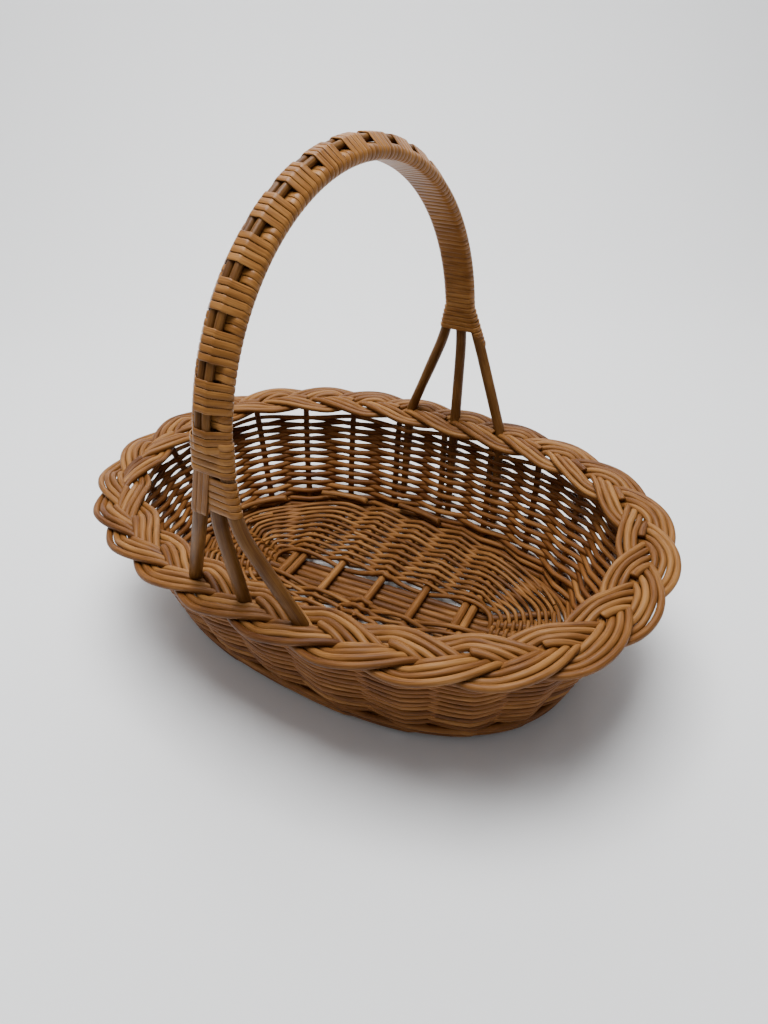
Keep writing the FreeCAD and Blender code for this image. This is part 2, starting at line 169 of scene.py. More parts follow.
def wall_points(angles, levels, outward=0.0):
    """Points of the wall at some angles and levels, moved outward."""
    half = wall_half(np.asarray(levels, dtype=float)[..., None])
    half = np.broadcast_to(half, np.shape(angles) + (2,)) + np.asarray(outward, dtype=float)[..., None]
    flat = oval_points((half[..., 0], half[..., 1]), np.asarray(angles))
    return np.concatenate([flat, np.broadcast_to(levels, np.shape(angles))[..., None]], axis=-1)


# ---------------------------------------------------------------- rods as meshes

def unit(vectors):
    """Vectors of length one."""
    return vectors / np.maximum(np.linalg.norm(vectors, axis=-1, keepdims=True), 1e-9)


def smooth_noise(count, knots, size, closed=False):
    """A gentle random wave of some size over a number of points."""
    values = RNG.normal(0, size, knots)
    if closed:
        values = np.append(values, values[0])
    places = np.linspace(0, 1, len(values))
    at = np.linspace(0, 1, count, endpoint=not closed)
    index = np.clip(np.searchsorted(places, at, side="right") - 1, 0, len(values) - 2)
    share = (at - places[index]) * (len(values) - 1)
    share = (1 - np.cos(math.pi * share)) / 2
    return values[index] * (1 - share) + values[index + 1] * share


def round_section(sides):
    """A circle of radius one."""
    turn = np.arange(sides) * 2 * math.pi / sides
    return np.stack([np.cos(turn), np.sin(turn)], axis=-1)


CANE_SECTION = np.array([(-1, -0.5), (-0.86, -1), (0.86, -1), (1, -0.5), (1, 0.35),
                         (0.82, 0.85), (0.3, 1.0), (-0.3, 1.0), (-0.82, 0.85), (-1, 0.35)])


def between_posts(share):
    """How far a weaver has crossed from one side to the other, part way between two posts."""
    straight = 0.7
    return straight * share + (1 - straight) * (1 - np.cos(math.pi * share)) / 2


class Rods:
    """Rods gathered into one mesh. Each point keeps its place in its own rod's grain, and a tone."""

    BEVEL_LENGTH = 0.3          # of the rounded edge at a cut end, in radii
    CUT_SIZE = 0.8              # of the flat cut face, in radii
    GRAIN_SPREAD = 5000         # rods take their grain from random places along this length

    def __init__(self, section):
        self.section = section
        self.points = []
        self.grain = []
        self.tone = []
        self.faces = []
        self.count = 0

    def add(self, line, radius, up=(0, 0, 1), closed=False, slant=(0.0, 0.0), tone=None):
        """One rod along a line. radius is a number, one per point, or (half width, half height)."""
        line = np.asarray(line, dtype=float)
        size = self._sizes(radius, len(line))
        up = np.broadcast_to(np.asarray(up, dtype=float), line.shape)
        if closed:
            ahead = unit(np.roll(line, -1, axis=0) - np.roll(line, 1, axis=0))
        else:
            line, size, up = self._bevel_ends(line, size, up)
            ahead = unit(np.gradient(line, axis=0))
        side = unit(np.cross(ahead, up))
        top = np.cross(side, ahead)
        flat = self.section[None, :, :] * size[:, None, :]
        points = line[:, None, :] + side[:, None, :] * flat[..., :1] + top[:, None, :] * flat[..., 1:]
        if not closed:
            points[:2] += ahead[0] * slant[0] * flat[0, :, 1][None, :, None]
            points[-2:] += ahead[-1] * slant[1] * flat[-1, :, 1][None, :, None]
        self._keep(line, points, flat, closed, RNG.normal(0, 1) if tone is None else tone)

    def _sizes(self, radius, count):
        if isinstance(radius, tuple):
            return np.stack([np.broadcast_to(part, count) for part in radius], axis=-1).astype(float)
        return np.repeat(np.broadcast_to(radius, count).astype(float)[:, None], 2, axis=1)

    def _bevel_ends(self, line, size, up):
        """A slightly rounded edge at both cut ends."""
        bevel = self.BEVEL_LENGTH * size.min()
        first = line[0] + unit(line[1] - line[0]) * bevel
        last = line[-1] + unit(line[-2] - line[-1]) * bevel
        line = np.concatenate([line[:1], [first], line[1:-1], [last], line[-1:]])
        size = np.concatenate([size[:1] * self.CUT_SIZE, size[:1], size[1:-1],
                               size[-1:], size[-1:] * self.CUT_SIZE])
        up = np.concatenate([up[:1], up, up[-1:]])
        return line, size, up

    def _keep(self, line, points, flat, closed, tone):
        rings, sides = points.shape[:2]
        steps = np.linalg.norm(np.diff(line, axis=0), axis=1)
        along = np.concatenate([[0], np.cumsum(steps)]) + RNG.uniform(0, self.GRAIN_SPREAD)
        along = np.broadcast_to(along[:, None, None], (rings, sides, 1))
        index = self.count + np.arange(rings * sides).reshape(rings, sides)
        here = index if closed else index[:-1]
        following = np.roll(index, -1, axis=0) if closed else index[1:]
        corners = [here, np.roll(here, -1, axis=1), np.roll(following, -1, axis=1), following]
        self.faces.extend(np.stack(corners, axis=-1).reshape(-1, 4).tolist())
        if not closed:
            self.faces.append(index[0][::-1].tolist())
            self.faces.append(index[-1].tolist())
        self.points.append(points.reshape(-1, 3))
        self.grain.append(np.concatenate([along, flat], axis=-1).reshape(-1, 3))
        self.tone.append(np.full(rings * sides, tone))
        self.count += rings * sides

    def piece(self, name, material, slot, *nodes):
        """Make the object, ride it on the basket and let it stand for its CAD nodes."""
        mesh = bpy.data.meshes.new(name)
        mesh.from_pydata((np.concatenate(self.points) * METRES_PER_MM).tolist(), [], self.faces)
        grain = mesh.attributes.new("grain", "FLOAT_VECTOR", "POINT")
        grain.data.foreach_set("vector", (np.concatenate(self.grain) * METRES_PER_MM).ravel())
        tone = mesh.attributes.new("tone", "FLOAT", "POINT")
        tone.data.foreach_set("value", np.concatenate(self.tone))
        mesh.materials.append(material)
        mesh.shade_smooth()
        mesh.update()
        thing = bpy.data.objects.new(name, mesh)
        bpy.context.scene.collection.objects.link(thing)
        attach(thing, "root")
        if nodes:
            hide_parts(*nodes)


# ---------------------------------------------------------------- materials

STREAK_SCALE = (45, 1500, 1500)     # per metre along a rod and across it
STREAK_DETAIL = 4.0
STREAK_DEPTH_METRES = 0.0006
BLOTCH_SCALE = (38, 130, 130)
BLOTCH_DETAIL = 3.0
NOISE_SHARE = 0.75                  # of the streaks, and of the blotches, in the colour
TONE_SHARE = 0.085                  # of the tone of a rod
COLOUR_OFFSET = 0.25
RAMP_PLACES = (0.22, 0.50, 0.80)    # of the dark, middle and light colour
SPECULAR = 0.18


def willow(name, dark, middle, light, roughness, streak=0.30):
    """Peeled and stained willow or cane: streaks along the rod, a tone per rod, and soft mottling."""
    material = bpy.data.materials.new(name)
    material.use_nodes = True
    nodes, links = material.node_tree.nodes, material.node_tree.links
    shader = nodes["Principled BSDF"]

    def point_value(attribute, output):
        reader = nodes.new("ShaderNodeAttribute")
        reader.attribute_name = attribute
        return reader.outputs[output]

    def grain_noise(scale, detail):
        stretch = nodes.new("ShaderNodeMapping")
        stretch.inputs["Scale"].default_value = scale
        links.new(grain, stretch.inputs["Vector"])
        noise = nodes.new("ShaderNodeTexNoise")
        noise.inputs["Scale"].default_value = 1.0
        noise.inputs["Detail"].default_value = detail
        links.new(stretch.outputs["Vector"], noise.inputs["Vector"])
        return noise.outputs["Fac"]

    def combined(operation, first, second, clamp=False):
        step = nodes.new("ShaderNodeMath")
        step.operation = operation
        step.use_clamp = clamp
        for socket, value in zip(step.inputs, (first, second)):
            if isinstance(value, float):
                socket.default_value = value
            else:
                links.new(value, socket)
        return step.outputs[0]

    grain = point_value("grain", "Vector")
    tone = point_value("tone", "Fac")
    streaks = grain_noise(STREAK_SCALE, STREAK_DETAIL)
    blotches = grain_noise(BLOTCH_SCALE, BLOTCH_DETAIL)
    mixed = combined("ADD", combined("MULTIPLY", streaks, NOISE_SHARE),
                     combined("MULTIPLY", blotches, NOISE_SHARE))
    shifted = combined("ADD", mixed, combined("MULTIPLY", tone, TONE_SHARE))
    ready = combined("SUBTRACT", shifted, COLOUR_OFFSET, clamp=True)

    ramp = nodes.new("ShaderNodeValToRGB")
    colours = ramp.color_ramp.elements
    colours.new(RAMP_PLACES[1])
    for stop, place, colour in zip(colours, RAMP_PLACES, (dark, middle, light)):
        stop.position = place
        stop.color = (*colour, 1)
    links.new(ready, ramp.inputs["Fac"])
    links.new(ramp.outputs["Color"], shader.inputs["Base Color"])

    bump = nodes.new("ShaderNodeBump")
    bump.inputs["Strength"].default_value = streak
    bump.inputs["Distance"].default_value = STREAK_DEPTH_METRES
    links.new(streaks, bump.inputs["Height"])
    links.new(bump.outputs["Normal"], shader.inputs["Normal"])

    rough = nodes.new("ShaderNodeMapRange")
    rough.inputs["To Min"].default_value = roughness - 0.08
    rough.inputs["To Max"].default_value = roughness + 0.10
    links.new(blotches, rough.inputs["Value"])
    links.new(rough.outputs["Result"], shader.inputs["Roughness"])
    shader.inputs["Specular IOR Level"].default_value = SPECULAR
    return material


BORDER_WILLOW = willow("border_willow", dark=(0.078, 0.0245, 0.0045), middle=(0.168, 0.065, 0.0142),
                       light=(0.278, 0.126, 0.034), roughness=0.46)
WALL_WILLOW = willow("wall_willow", dark=(0.088, 0.0275, 0.0060), middle=(0.195, 0.071, 0.0155),
                     light=(0.320, 0.138, 0.038), roughness=0.48)
STAKE_WILLOW = willow("stake_willow", dark=(0.078, 0.0245, 0.0055), middle=(0.165, 0.059, 0.0135),
                      light=(0.250, 0.106, 0.030), roughness=0.50)
BASE_WILLOW = willow("base_willow", dark=(0.078, 0.0265, 0.0060), middle=(0.180, 0.070, 0.0165),
                     light=(0.320, 0.148, 0.044), roughness=0.48)
HANDLE_WILLOW = willow("handle_willow", dark=(0.062, 0.0215, 0.0042), middle=(0.128, 0.052, 0.0112),
                       light=(0.200, 0.090, 0.0225), roughness=0.40)
WRAP_CANE = willow("wrap_cane", dark=(0.115, 0.041, 0.0085), middle=(0.245, 0.102, 0.0235),
                   light=(0.400, 0.188, 0.053), roughness=0.34, streak=0.14)


# ---------------------------------------------------------------- border

STRANDS = 3
BORDER_ROD = 2.35
BORDER_ROD_PITCH = 4.65         # between rods that lie side by side in a strand
STRAND_RODS = (-1.5, -0.5, 0.5)
TUCKED_ROD = 1.5                # the fourth place in each strand is a rod tucked in at each unit
STRAND_SWING = RIM_BAND / 2 - TUCKED_ROD * BORDER_ROD_PITCH - BORDER_ROD
STRAND_LIFT = 2.7               # how far a strand rises and falls where strands cross
STRAND_CROWN = 0.012            # drop of a rod beside the strand's middle, per square millimetre
CROSSING_SPREAD = 1.5           # the larger, the closer together the rods of a strand cross
CROSSING_SHARPNESS = 1.3        # the larger, the shorter the rise and fall at a crossing
BORDER_SAMPLES = 24 * UNITS

TUCK_BUTT = 2.75                # radius of the cut end of a tucked rod
TUCK_RISE = 0.9
TUCK_AHEAD = 7.5                # a tucked rod starts this far past each leg place
TUCK_PHASE = math.radians(15.0)     # of its strand, there
TUCK_UNITS = 2.5                # how far a tucked rod runs before it ends out of sight
TUCK_SAMPLES = 72
TUCK_SLANT = -0.45              # of the cut, as a slope


def strand_phase(along, unit_index):
    """Phase of the strand whose tucked rod starts in a unit."""
    start = unit_index * PITCH + TUCK_AHEAD
    return 2 * math.pi * (along - start) / (STRANDS * PITCH) + TUCK_PHASE


def strand_line(along, unit_index, beside):
    """A rod of a plait strand, a distance to the outer side of the strand's middle."""
    phase = strand_phase(along, unit_index)
    lateral = -STRAND_SWING * np.cos(phase)
    slope = STRAND_SWING * np.sin(phase) * 2 * math.pi / (STRANDS * PITCH)
    steep = np.sqrt(1 + slope * slope)
    flat = RIM_TRACK.place(along - beside * slope / steep, lateral + beside / steep)
    crossing = phase + beside * np.sin(phase) / (CROSSING_SPREAD * STRAND_SWING)
    lift = np.tanh(CROSSING_SHARPNESS * np.sin(2 * crossing)) / math.tanh(CROSSING_SHARPNESS)
    level = RIM_LEVEL + STRAND_LIFT * lift - STRAND_CROWN * beside * beside
    return np.concatenate([flat, level[:, None]], axis=-1)


def border_strands():
    """Three strands of three long rods each, plaited round the rim."""
    along = np.arange(BORDER_SAMPLES) * RIM_TRACK.total / BORDER_SAMPLES
    for strand in range(STRANDS):
        rods = Rods(round_section(12))
        for place in STRAND_RODS:
            line = strand_line(along, strand, place * BORDER_ROD_PITCH)
            wander = [smooth_noise(len(along), knots=90, size=0.22, closed=True) for _ in range(3)]
            line += np.stack(wander, axis=-1)
            radius = BORDER_ROD * (1 + smooth_noise(len(along), knots=30, size=0.05, closed=True))
            rods.add(line, radius, closed=True)
        nodes = ("border_plait",) if strand == 0 else ()
        rods.piece("border_strand_%d" % (strand + 1), BORDER_WILLOW, "border_rods", *nodes)


def border_tucked_rods():
    """A rod in each unit that starts with a cut end on top of the plait and follows a strand."""
    rods = Rods(round_section(12))
    share = np.linspace(0, 1, TUCK_SAMPLES)
    for unit_index in range(UNITS):
        start = unit_index * PITCH + TUCK_AHEAD + RNG.normal(0, 0.8)
        along = start + share * TUCK_UNITS * PITCH
        line = strand_line(along, unit_index, TUCKED_ROD * BORDER_ROD_PITCH)
        line[:, 2] += TUCK_RISE * np.exp(-share * 9)
        radius = BORDER_ROD + (TUCK_BUTT * RNG.normal(1, 0.05) - BORDER_ROD) * np.exp(-share * 6)
        rods.add(line, radius, slant=(TUCK_SLANT, 0))
    rods.piece("border_tucked_rods", BORDER_WILLOW, "border_rods")


# ---------------------------------------------------------------- side

SIDE_ROWS = 22
ROW_BOTTOM_PITCH = 3.6
ROW_TOP_PITCH = 3.0
WEAVER_SHARE = 0.68             # radius of a side weaver, as a share of the pitch of the rows
WEAVER_PRESS = 0.9              # how far a weaver is pressed into the stakes it passes
SAMPLES_BETWEEN_STAKES = 14

LEG_SIZE = 1.16                 # radius of a leg above the border, in radii of a bow rod
LEG_PARED = 0.42                # how much less it is at the tip
GRIP_SLIMMER = 0.12             # and how much less in the grip

WALE_ROD = 2.3
WALE_LEVELS = (8.3, 13.6)
WALE_RODS = 3
WALE_PRESS = 0.7
WALE_RISE = 1.25                # how far the three rods of a round climb over each other

BUTT_PLACES = (-5.0, 72.0, 151.0)   # along the foot, from the middle of the back
BUTT_LENGTH = 44.0
BUTT_LEVELS = (19.0, 21.5)
BUTT_RADII = (2.9, 2.1)


def row_levels():
    """Levels of the rows of side weave, closer together towards the top."""
    pitches = np.linspace(ROW_BOTTOM_PITCH, ROW_TOP_PITCH, SIDE_ROWS - 1)
    levels = np.concatenate([[0], np.cumsum(pitches)])
    bottom = WEAVE_BOTTOM + ROW_BOTTOM_PITCH / 2
    top = WEAVE_TOP - ROW_TOP_PITCH / 2
    return bottom + levels * (top - bottom) / levels[-1]


def leg_radius(level):
    """Radius of a bow rod: thickest between winding and border, pared down below the border."""
    below = np.clip((RIM_LEVEL - level) / (RIM_LEVEL - LEG_TIP_LEVEL), 0, 1)
    above = np.clip((level - WRAP_END[-1]) / LEG_TAPER, 0, 1)
    return BOW_ROD * (LEG_SIZE - LEG_PARED * below - GRIP_SLIMMER * above)


def uprights(level):
    """(group, angle, radius) of each stake and leg that a row passes at a level."""
    posts = []
    half_round = UNITS // 2
    for group in range(UNITS):
        beside_leg = min(group % half_round, -group % half_round) <= 1
        if beside_leg and level > LEG_TIP_LEVEL:
            posts.append((group, float(upright_angle(group, 0, level)), float(leg_radius(level))))
        posts.append((group, float(upright_angle(group, STAKE_SHIFT, level)), STAKE_RADIUS))
    return posts


def woven_row(posts, *values_at_posts):
    """Angles round a row, and each set of values eased from one post to the next."""
    angles = np.array([angle for _, angle, _ in posts])
    following = np.append(angles[1:], angles[0] + 2 * math.pi)
    share = np.arange(SAMPLES_BETWEEN_STAKES) / SAMPLES_BETWEEN_STAKES
    found = [(angles[:, None] + (following - angles)[:, None] * share).ravel()]
    for values in values_at_posts:
        change = (np.roll(values, -1) - values)[:, None] * between_posts(share)
        found.append((values[:, None] + change).ravel())
    return found


def side_rows():
    """Rows of single weavers, in front of one stake and behind the next, each row the other way."""
    rods = Rods(round_section(8))
    levels = row_levels()
    for row, (level, pitch) in enumerate(zip(levels, np.gradient(levels))):
        posts = uprights(level)
        radius = WEAVER_SHARE * pitch
        signs = np.array([1 if (group + row) % 2 else -1 for group, _, _ in posts])
        reach = np.array([post for _, _, post in posts]) + radius - WEAVER_PRESS
        turn, offset = woven_row(posts, signs * reach)
        heights = level + smooth_noise(len(turn), knots=40, size=0.28, closed=True)
        offset = offset + smooth_noise(len(turn), knots=60, size=0.2, closed=True)
        radius = radius * (1 + smooth_noise(len(turn), knots=26, size=0.07, closed=True))
        rods.add(wall_points(turn, heights, offset), radius, closed=True)
    rods.piece("side_weave_rows", WALL_WILLOW, "side_weavers", "side_weave")


def upsett_wale():
    """Two rounds of three-rod wale: each rod passes before two stakes and behind one."""
    rods = Rods(round_section(8))
    posts = uprights(0)
    groups = np.array([group for group, _, _ in posts])
    reach = STAKE_RADIUS + WALE_ROD - WALE_PRESS
    for level in WALE_LEVELS:
        for rod in range(WALE_RODS):
            offsets = np.where((groups + rod) % WALE_RODS == 0, -reach, reach)
            rises = WALE_RISE * np.sin(2 * math.pi * (groups + rod) / WALE_RODS)
            turn, offset, rise = woven_row(posts, offsets, rises)
            heights = level + rise + smooth_noise(len(turn), knots=40, size=0.15, closed=True)
            radius = WALE_ROD * (1 + smooth_noise(len(turn), knots=20, size=0.06, closed=True))
            rods.add(wall_points(turn, heights, offset), radius, closed=True)
    rods.piece("upsett_wale_rods", WALL_WILLOW, "side_weavers", "upsett_wale")


def wale_butts():
    """Thick butt ends of wale rods that lie inside the foot of the back wall."""
    rods = Rods(round_section(12))
    share = np.linspace(0, 1, 20)
    inward = -(STAKE_RADIUS + 4.6) - 2.2 * np.exp(-share * 5)
    levels = BUTT_LEVELS[0] + (BUTT_LEVELS[1] - BUTT_LEVELS[0]) * share
    for place in BUTT_PLACES:
        angles = FOOT_TRACK.angle(0.5 * FOOT_TRACK.total + place + BUTT_LENGTH * share)
        rods.add(wall_points(angles, levels, inward), np.linspace(*BUTT_RADII, 20), slant=(0.5, 0))
    rods.piece("wale_butt_ends", BASE_WILLOW, "side_weavers")


def foot_ring():
    """The smooth rod round the bottom edge, whose ends meet at the back."""
    rods = Rods(round_section(14))
    joint = 0.55 * math.pi
    flat = oval_points(FOOT_HALF, np.linspace(joint, joint + 2 * math.pi, 241))
    level = np.full(len(flat), FOOT_LEVEL)
    rods.add(np.concatenate([flat, level[:, None]], axis=-1), FOOT_ROD, tone=0.2)
    rods.piece("foot_ring_rod", WALL_WILLOW, "side_weavers", "foot_ring")


def side_stakes():
    """The upright stakes, each a little crooked, with their tops hidden in the border."""
    levels = np.linspace(STAKE_BOTTOM, RIM_LEVEL - 1.5, 16)
    radius = STAKE_RADIUS * np.linspace(1.03, 0.93, len(levels))
    for index in range(UNITS):
        angle = upright_angle(index, STAKE_SHIFT, levels)
        line = wall_points(angle, levels, smooth_noise(len(levels), knots=5, size=0.15))
        line[:, :2] += smooth_noise(len(levels), knots=4, size=0.25)[:, None]
        rods = Rods(round_section(10))
        rods.add(line, radius, up=(1, 0, 0))
        rods.piece("stake_%02d" % (index + 1), STAKE_WILLOW, "stakes", "side_stake_%02d" % (index + 1))


# ---------------------------------------------------------------- base

BASE_LOOPS = 22
BASE_WEAVER = 1.78
BASE_PRESS = 0.2                # how far a weaver is pressed into the sticks it passes
BASE_EDGE_GAP = 0.8             # between the last row and the stakes
THICKER_AT_SIDES = 0.13         # weavers are thicker along the sides and thinner round the ends
THICKER_FIRST = 0.2             # and the first rows, next to the long sticks, are thicker
LOWEST_MIDDLE = 1.5             # a weaver's middle stays this many radii above the floor
INNER_LOOP = np.array([98.5, 17.9])
INNER_POWER = 4.5
LOOP_SAMPLES = 1440
LOOP_STRIDE = 4                 # every fourth of them becomes a point of the mesh
FAN_RISE = 4.5                  # the opened ends of the long sticks rise this much into the weave
FAN_RISE_EASE = 8.0
FAN_BEND = 6.0                  # length over which a stick turns out of the bundle
STICK_SAMPLES = 81
CROSS_SAMPLES = 24

TIP_COUNT = 26
TIP_RADIUS = 1.45
TIP_SAMPLES = np.arange(0, 33, LOOP_STRIDE)


def turned(points, turn=BASE_TURN):
    """Points given in the base sticks' askew directions, in the basket's own."""
    cos, sin = math.cos(turn), math.sin(turn)
    return np.stack([points[..., 0] * cos - points[..., 1] * sin,
                     points[..., 0] * sin + points[..., 1] * cos], axis=-1)


def fan_level(reach):
    """Level of the middle of a long stick at a distance along the base."""
    share = np.clip((np.abs(reach) - BUNDLE_HALF + FAN_RISE_EASE) / FAN_LENGTH, 0, 1)
    return LONG_STICK_LEVEL + FAN_RISE * share * share * (3 - 2 * share)


def long_stick_line(place):
    """One long stick in the sticks' own directions: side by side, then opened at the ends."""
    angle = place * FAN_ANGLE
    reach = BUNDLE_HALF + FAN_LENGTH * math.cos(angle)
    x = np.linspace(-reach, reach, STICK_SAMPLES)
    beyond = np.maximum(np.abs(x) - BUNDLE_HALF + FAN_BEND, 0)
    y = place * STICK_PITCH + np.tan(angle) * beyond * beyond / (beyond + FAN_BEND)
    return np.stack([x, y], axis=-1)


def long_sticks():
    """The bundle of long sticks, level in the middle and rising at the ends."""
    for index, place in enumerate(LONG_STICK_PLACES):
        flat = long_stick_line(place)
        line = np.concatenate([turned(flat), fan_level(flat[:, 0])[:, None]], axis=-1)
        line[:, :2] += smooth_noise(len(line), knots=9, size=0.25)[:, None]
        rods = Rods(round_section(12))
        rods.add(line, STICK_RADIUS * (1 + smooth_noise(len(line), knots=8, size=0.02)))
        node = "base_long_stick_%d" % (index + 1)
        rods.piece("long_stick_%d" % (index + 1), BASE_WILLOW, "base_sticks", node)


def cross_sticks():
    """The cross sticks on top of the bundle, each as long as its CAD stick."""
    for index, slot in enumerate(CROSS_SLOTS):
        node = "base_cross_stick_%d" % (index + 1)
        low, high = cad_box(node)
        width_of_ends = 2 * STICK_RADIUS * math.sin(BASE_TURN)
        half = (high[1] - low[1] - width_of_ends) / 2 / math.cos(BASE_TURN)
        y = np.linspace(-half, half, CROSS_SAMPLES)
        flat = turned(np.stack([np.full(CROSS_SAMPLES, slot * CROSS_SPACING), y], axis=-1))
        flat[:, 0] += smooth_noise(CROSS_SAMPLES, knots=5, size=0.35)
        line = np.concatenate([flat, np.full((CROSS_SAMPLES, 1), CROSS_STICK_LEVEL)], axis=-1)
        rods = Rods(round_section(12))
        rods.add(line, STICK_RADIUS * (1 + smooth_noise(CROSS_SAMPLES, knots=5, size=0.025)))
        rods.piece("cross_stick_%d" % (index + 1), BASE_WILLOW, "base_sticks", node)


def loop_outline(share):
    """Closed outline of one base row in the sticks' own directions, from bundle (0) to edge (1)."""
    outer = FOOT_HALF - STAKE_RADIUS - BASE_WEAVER - BASE_EDGE_GAP
    half = INNER_LOOP + (outer - INNER_LOOP) * share
    power = INNER_POWER + (OVAL_POWER - INNER_POWER) * math.sqrt(share)
    turns = np.linspace(0, 2 * math.pi, LOOP_SAMPLES, endpoint=False)
    return turned(oval_points(half, turns, power), -BASE_TURN * share)


def crossings(outline):
    """Where a base row meets the sticks: (index on the outline, number round it, level), in order.

    The numbers run 0 to 4 over the long sticks' right ends, 5 to 9 over the cross sticks at the
    back, 10 to 14 over the left ends and 15 to 19 at the front. A pair has one number.
    """
    found = []
    for slot in CROSS_SLOTS:
        beside = outline[:, 0] - slot * CROSS_SPACING
        from_left = round(slot) + 2
        for index in np.nonzero(np.sign(beside) != np.sign(np.roll(beside, -1)))[0]:
            number = 9 - from_left if outline[index, 1] > 0 else 15 + from_left
            found.append((index, number, CROSS_STICK_LEVEL))
    for place in LONG_STICK_PLACES:
        right_half = long_stick_line(place)[STICK_SAMPLES // 2:]
        for end in (1, -1):
            on_side = end * outline[:, 0] > 0
            height = np.interp(np.abs(outline[:, 0]), right_half[:, 0], right_half[:, 1])
            beside = np.where(on_side, outline[:, 1] - height, 1e3)
            meets = (np.sign(beside) != np.sign(np.roll(beside, -1))) & on_side & np.roll(on_side, -1)
            meets &= np.abs(outline[:, 0]) > BUNDLE_HALF
            for index in np.nonzero(meets)[0][:1]:
                number = 2 + place if end > 0 else 12 - place
                found.append((index, number, float(fan_level(outline[index, 0]))))
    return sorted(found)


def base_row_levels(outline, row, at):
    """Levels of a base row at some points of its outline, over one stick and under the next."""
    posts = crossings(outline)
    index = np.array([post[0] for post in posts], dtype=float)
    sign = np.array([1 if (post[1] + row) % 2 else -1 for post in posts])
    heights = np.array([post[2] for post in posts]) + sign * (STICK_RADIUS + BASE_WEAVER - BASE_PRESS)
    index = np.concatenate([index[-1:] - len(outline), index, index[:1] + len(outline)])
    heights = np.concatenate([heights[-1:], heights, heights[:1]])
    segment = np.clip(np.searchsorted(index, at, side="right") - 1, 0, len(index) - 2)
    share = (at - index[segment]) / (index[segment + 1] - index[segment])
    levels = heights[segment] + (heights[segment + 1] - heights[segment]) * between_posts(share)
    return np.maximum(levels, BASE_WEAVER * LOWEST_MIDDLE)


def base_rows():
    """Rows of single weavers round the bundle."""
    rods = Rods(round_section(8))
    at = np.arange(0, LOOP_SAMPLES, LOOP_STRIDE)
    at_ends = np.cos(4 * math.pi * at / LOOP_SAMPLES)
    for row in range(BASE_LOOPS):
        outline = loop_outline(row / (BASE_LOOPS - 1))
        levels = base_row_levels(outline, row, at)
        flat = turned(outline[at])
        wander = [smooth_noise(len(at), knots=40, size=0.35, closed=True) for _ in range(2)]
        flat += np.stack(wander, axis=-1)
        radius = BASE_WEAVER * (1 - THICKER_AT_SIDES * at_ends + THICKER_FIRST * math.exp(-row))
        radius = radius * (1 + smooth_noise(len(at), knots=24, size=0.07, closed=True))
        rods.add(np.concatenate([flat, levels[:, None]], axis=-1), radius, closed=True)
    rods.piece("base_weave_rows", BASE_WILLOW, "base_weavers", "base_weave")


def base_tips():
    """Cut tips of base weavers that stand a little proud of the rows."""
    rods = Rods(round_section(8))
    share = np.linspace(0, 1, len(TIP_SAMPLES))
    level = CROSS_STICK_LEVEL + 3.4 + 2.6 * share
    for _ in range(TIP_COUNT):
        outline = loop_outline(RNG.uniform(0.1, 0.95))
        start = RNG.integers(0, len(outline))
        flat = turned(outline[(start + TIP_SAMPLES) % len(outline)])
        flat += np.stack([RNG.normal(0, 2.0) * share, RNG.normal(0, 2.0) * share], axis=-1)
        rods.add(np.concatenate([flat, level[:, None]], axis=-1), TIP_RADIUS, slant=(0, 0.5))
    rods.piece("base_weaver_tips", BASE_WILLOW, "base_weavers")


# ---------------------------------------------------------------- handle rods

LEG_EASE = (9, 14, 9)           # lengths over which the turns at border, knee and splay are eased
PATH_SPACING = 2.0
BOW_TONES = {"left": 0.3, "centre": -0.2, "right": 0.1}


def eased_path(corners, rounding):
    """A line through corners whose turns are eased over a length on each side."""
    corners = [np.asarray(corner, dtype=float) for corner in corners]
    points = [corners[0]]
    share = np.linspace(0, 1, 10)[:, None]
    for before, corner, after, ease in zip(corners, corners[1:], corners[2:], rounding):
        start = corner + unit(before - corner) * ease
        end = corner + unit(after - corner) * ease
        points.extend((1 - share) ** 2 * start + 2 * share * (1 - share) * corner + share ** 2 * end)
    points.append(corners[-1])
    return evenly_spaced(np.array(points))


def evenly_spaced(points):
    """The same line with evenly spaced points."""
    length = np.concatenate([[0], np.cumsum(np.linalg.norm(np.diff(points, axis=0), axis=1))])
    at = np.linspace(0, length[-1], max(int(length[-1] / PATH_SPACING), 2))
    return np.stack([np.interp(at, length, points[:, i]) for i in range(3)], axis=-1)


def bow_arc(x, radius, count):
    """Points of an arc of the bow from front to back, at some distance along the basket."""
    turn = np.linspace(BOW_START, math.pi - BOW_START, count)
    return np.stack([np.full(count, x), -radius * np.cos(turn), BOW_CENTRE + radius * np.sin(turn)],
                    axis=-1)


def bow_end(x, end):
    """The lower end of the bow over one border, and the point where the legs start to splay."""
    level = BOW_CENTRE + BOW_RADIUS * math.sin(BOW_START)
    place = np.array([x, end * BOW_RADIUS * math.cos(BOW_START), level])
    down = np.array([0, end * math.sin(BOW_START), -math.cos(BOW_START)])
    return place, place + down * SPLAY_DROP


def leg_points(side, end):
    """Tip, border, knee and splay points of one leg."""
    group = side if end < 0 else UNITS // 2 - side
    rim = wall_points(upright_angle(group, 0, WALL_JOINS_RIM), WALL_JOINS_RIM)
    rim[0] = side * LEG_SPREAD
    rim[2] = RIM_LEVEL
    tip = wall_points(upright_angle(group, 0, LEG_TIP_LEVEL), LEG_TIP_LEVEL)
    place, splay = bow_end(side * BOW_SPACING, end)
    drop = place[2] - WRAP_END[end] + KNEE_DROP
    knee = place + (splay - place) * drop / (place[2] - splay[2])
    knee[0] = side * KNEE_SPREAD[end]
    return tip, rim, knee, splay


def bow_line(side):
    """The whole line of one bow rod, from its front tip to its back tip."""
    bow = bow_arc(side * BOW_SPACING, BOW_RADIUS, 120)
    rising = eased_path([*leg_points(side, -1), bow[0]], LEG_EASE)
    falling = eased_path([bow[-1], *leg_points(side, 1)[::-1]], LEG_EASE)
    return np.concatenate([rising[:-1], bow, falling[1:]])


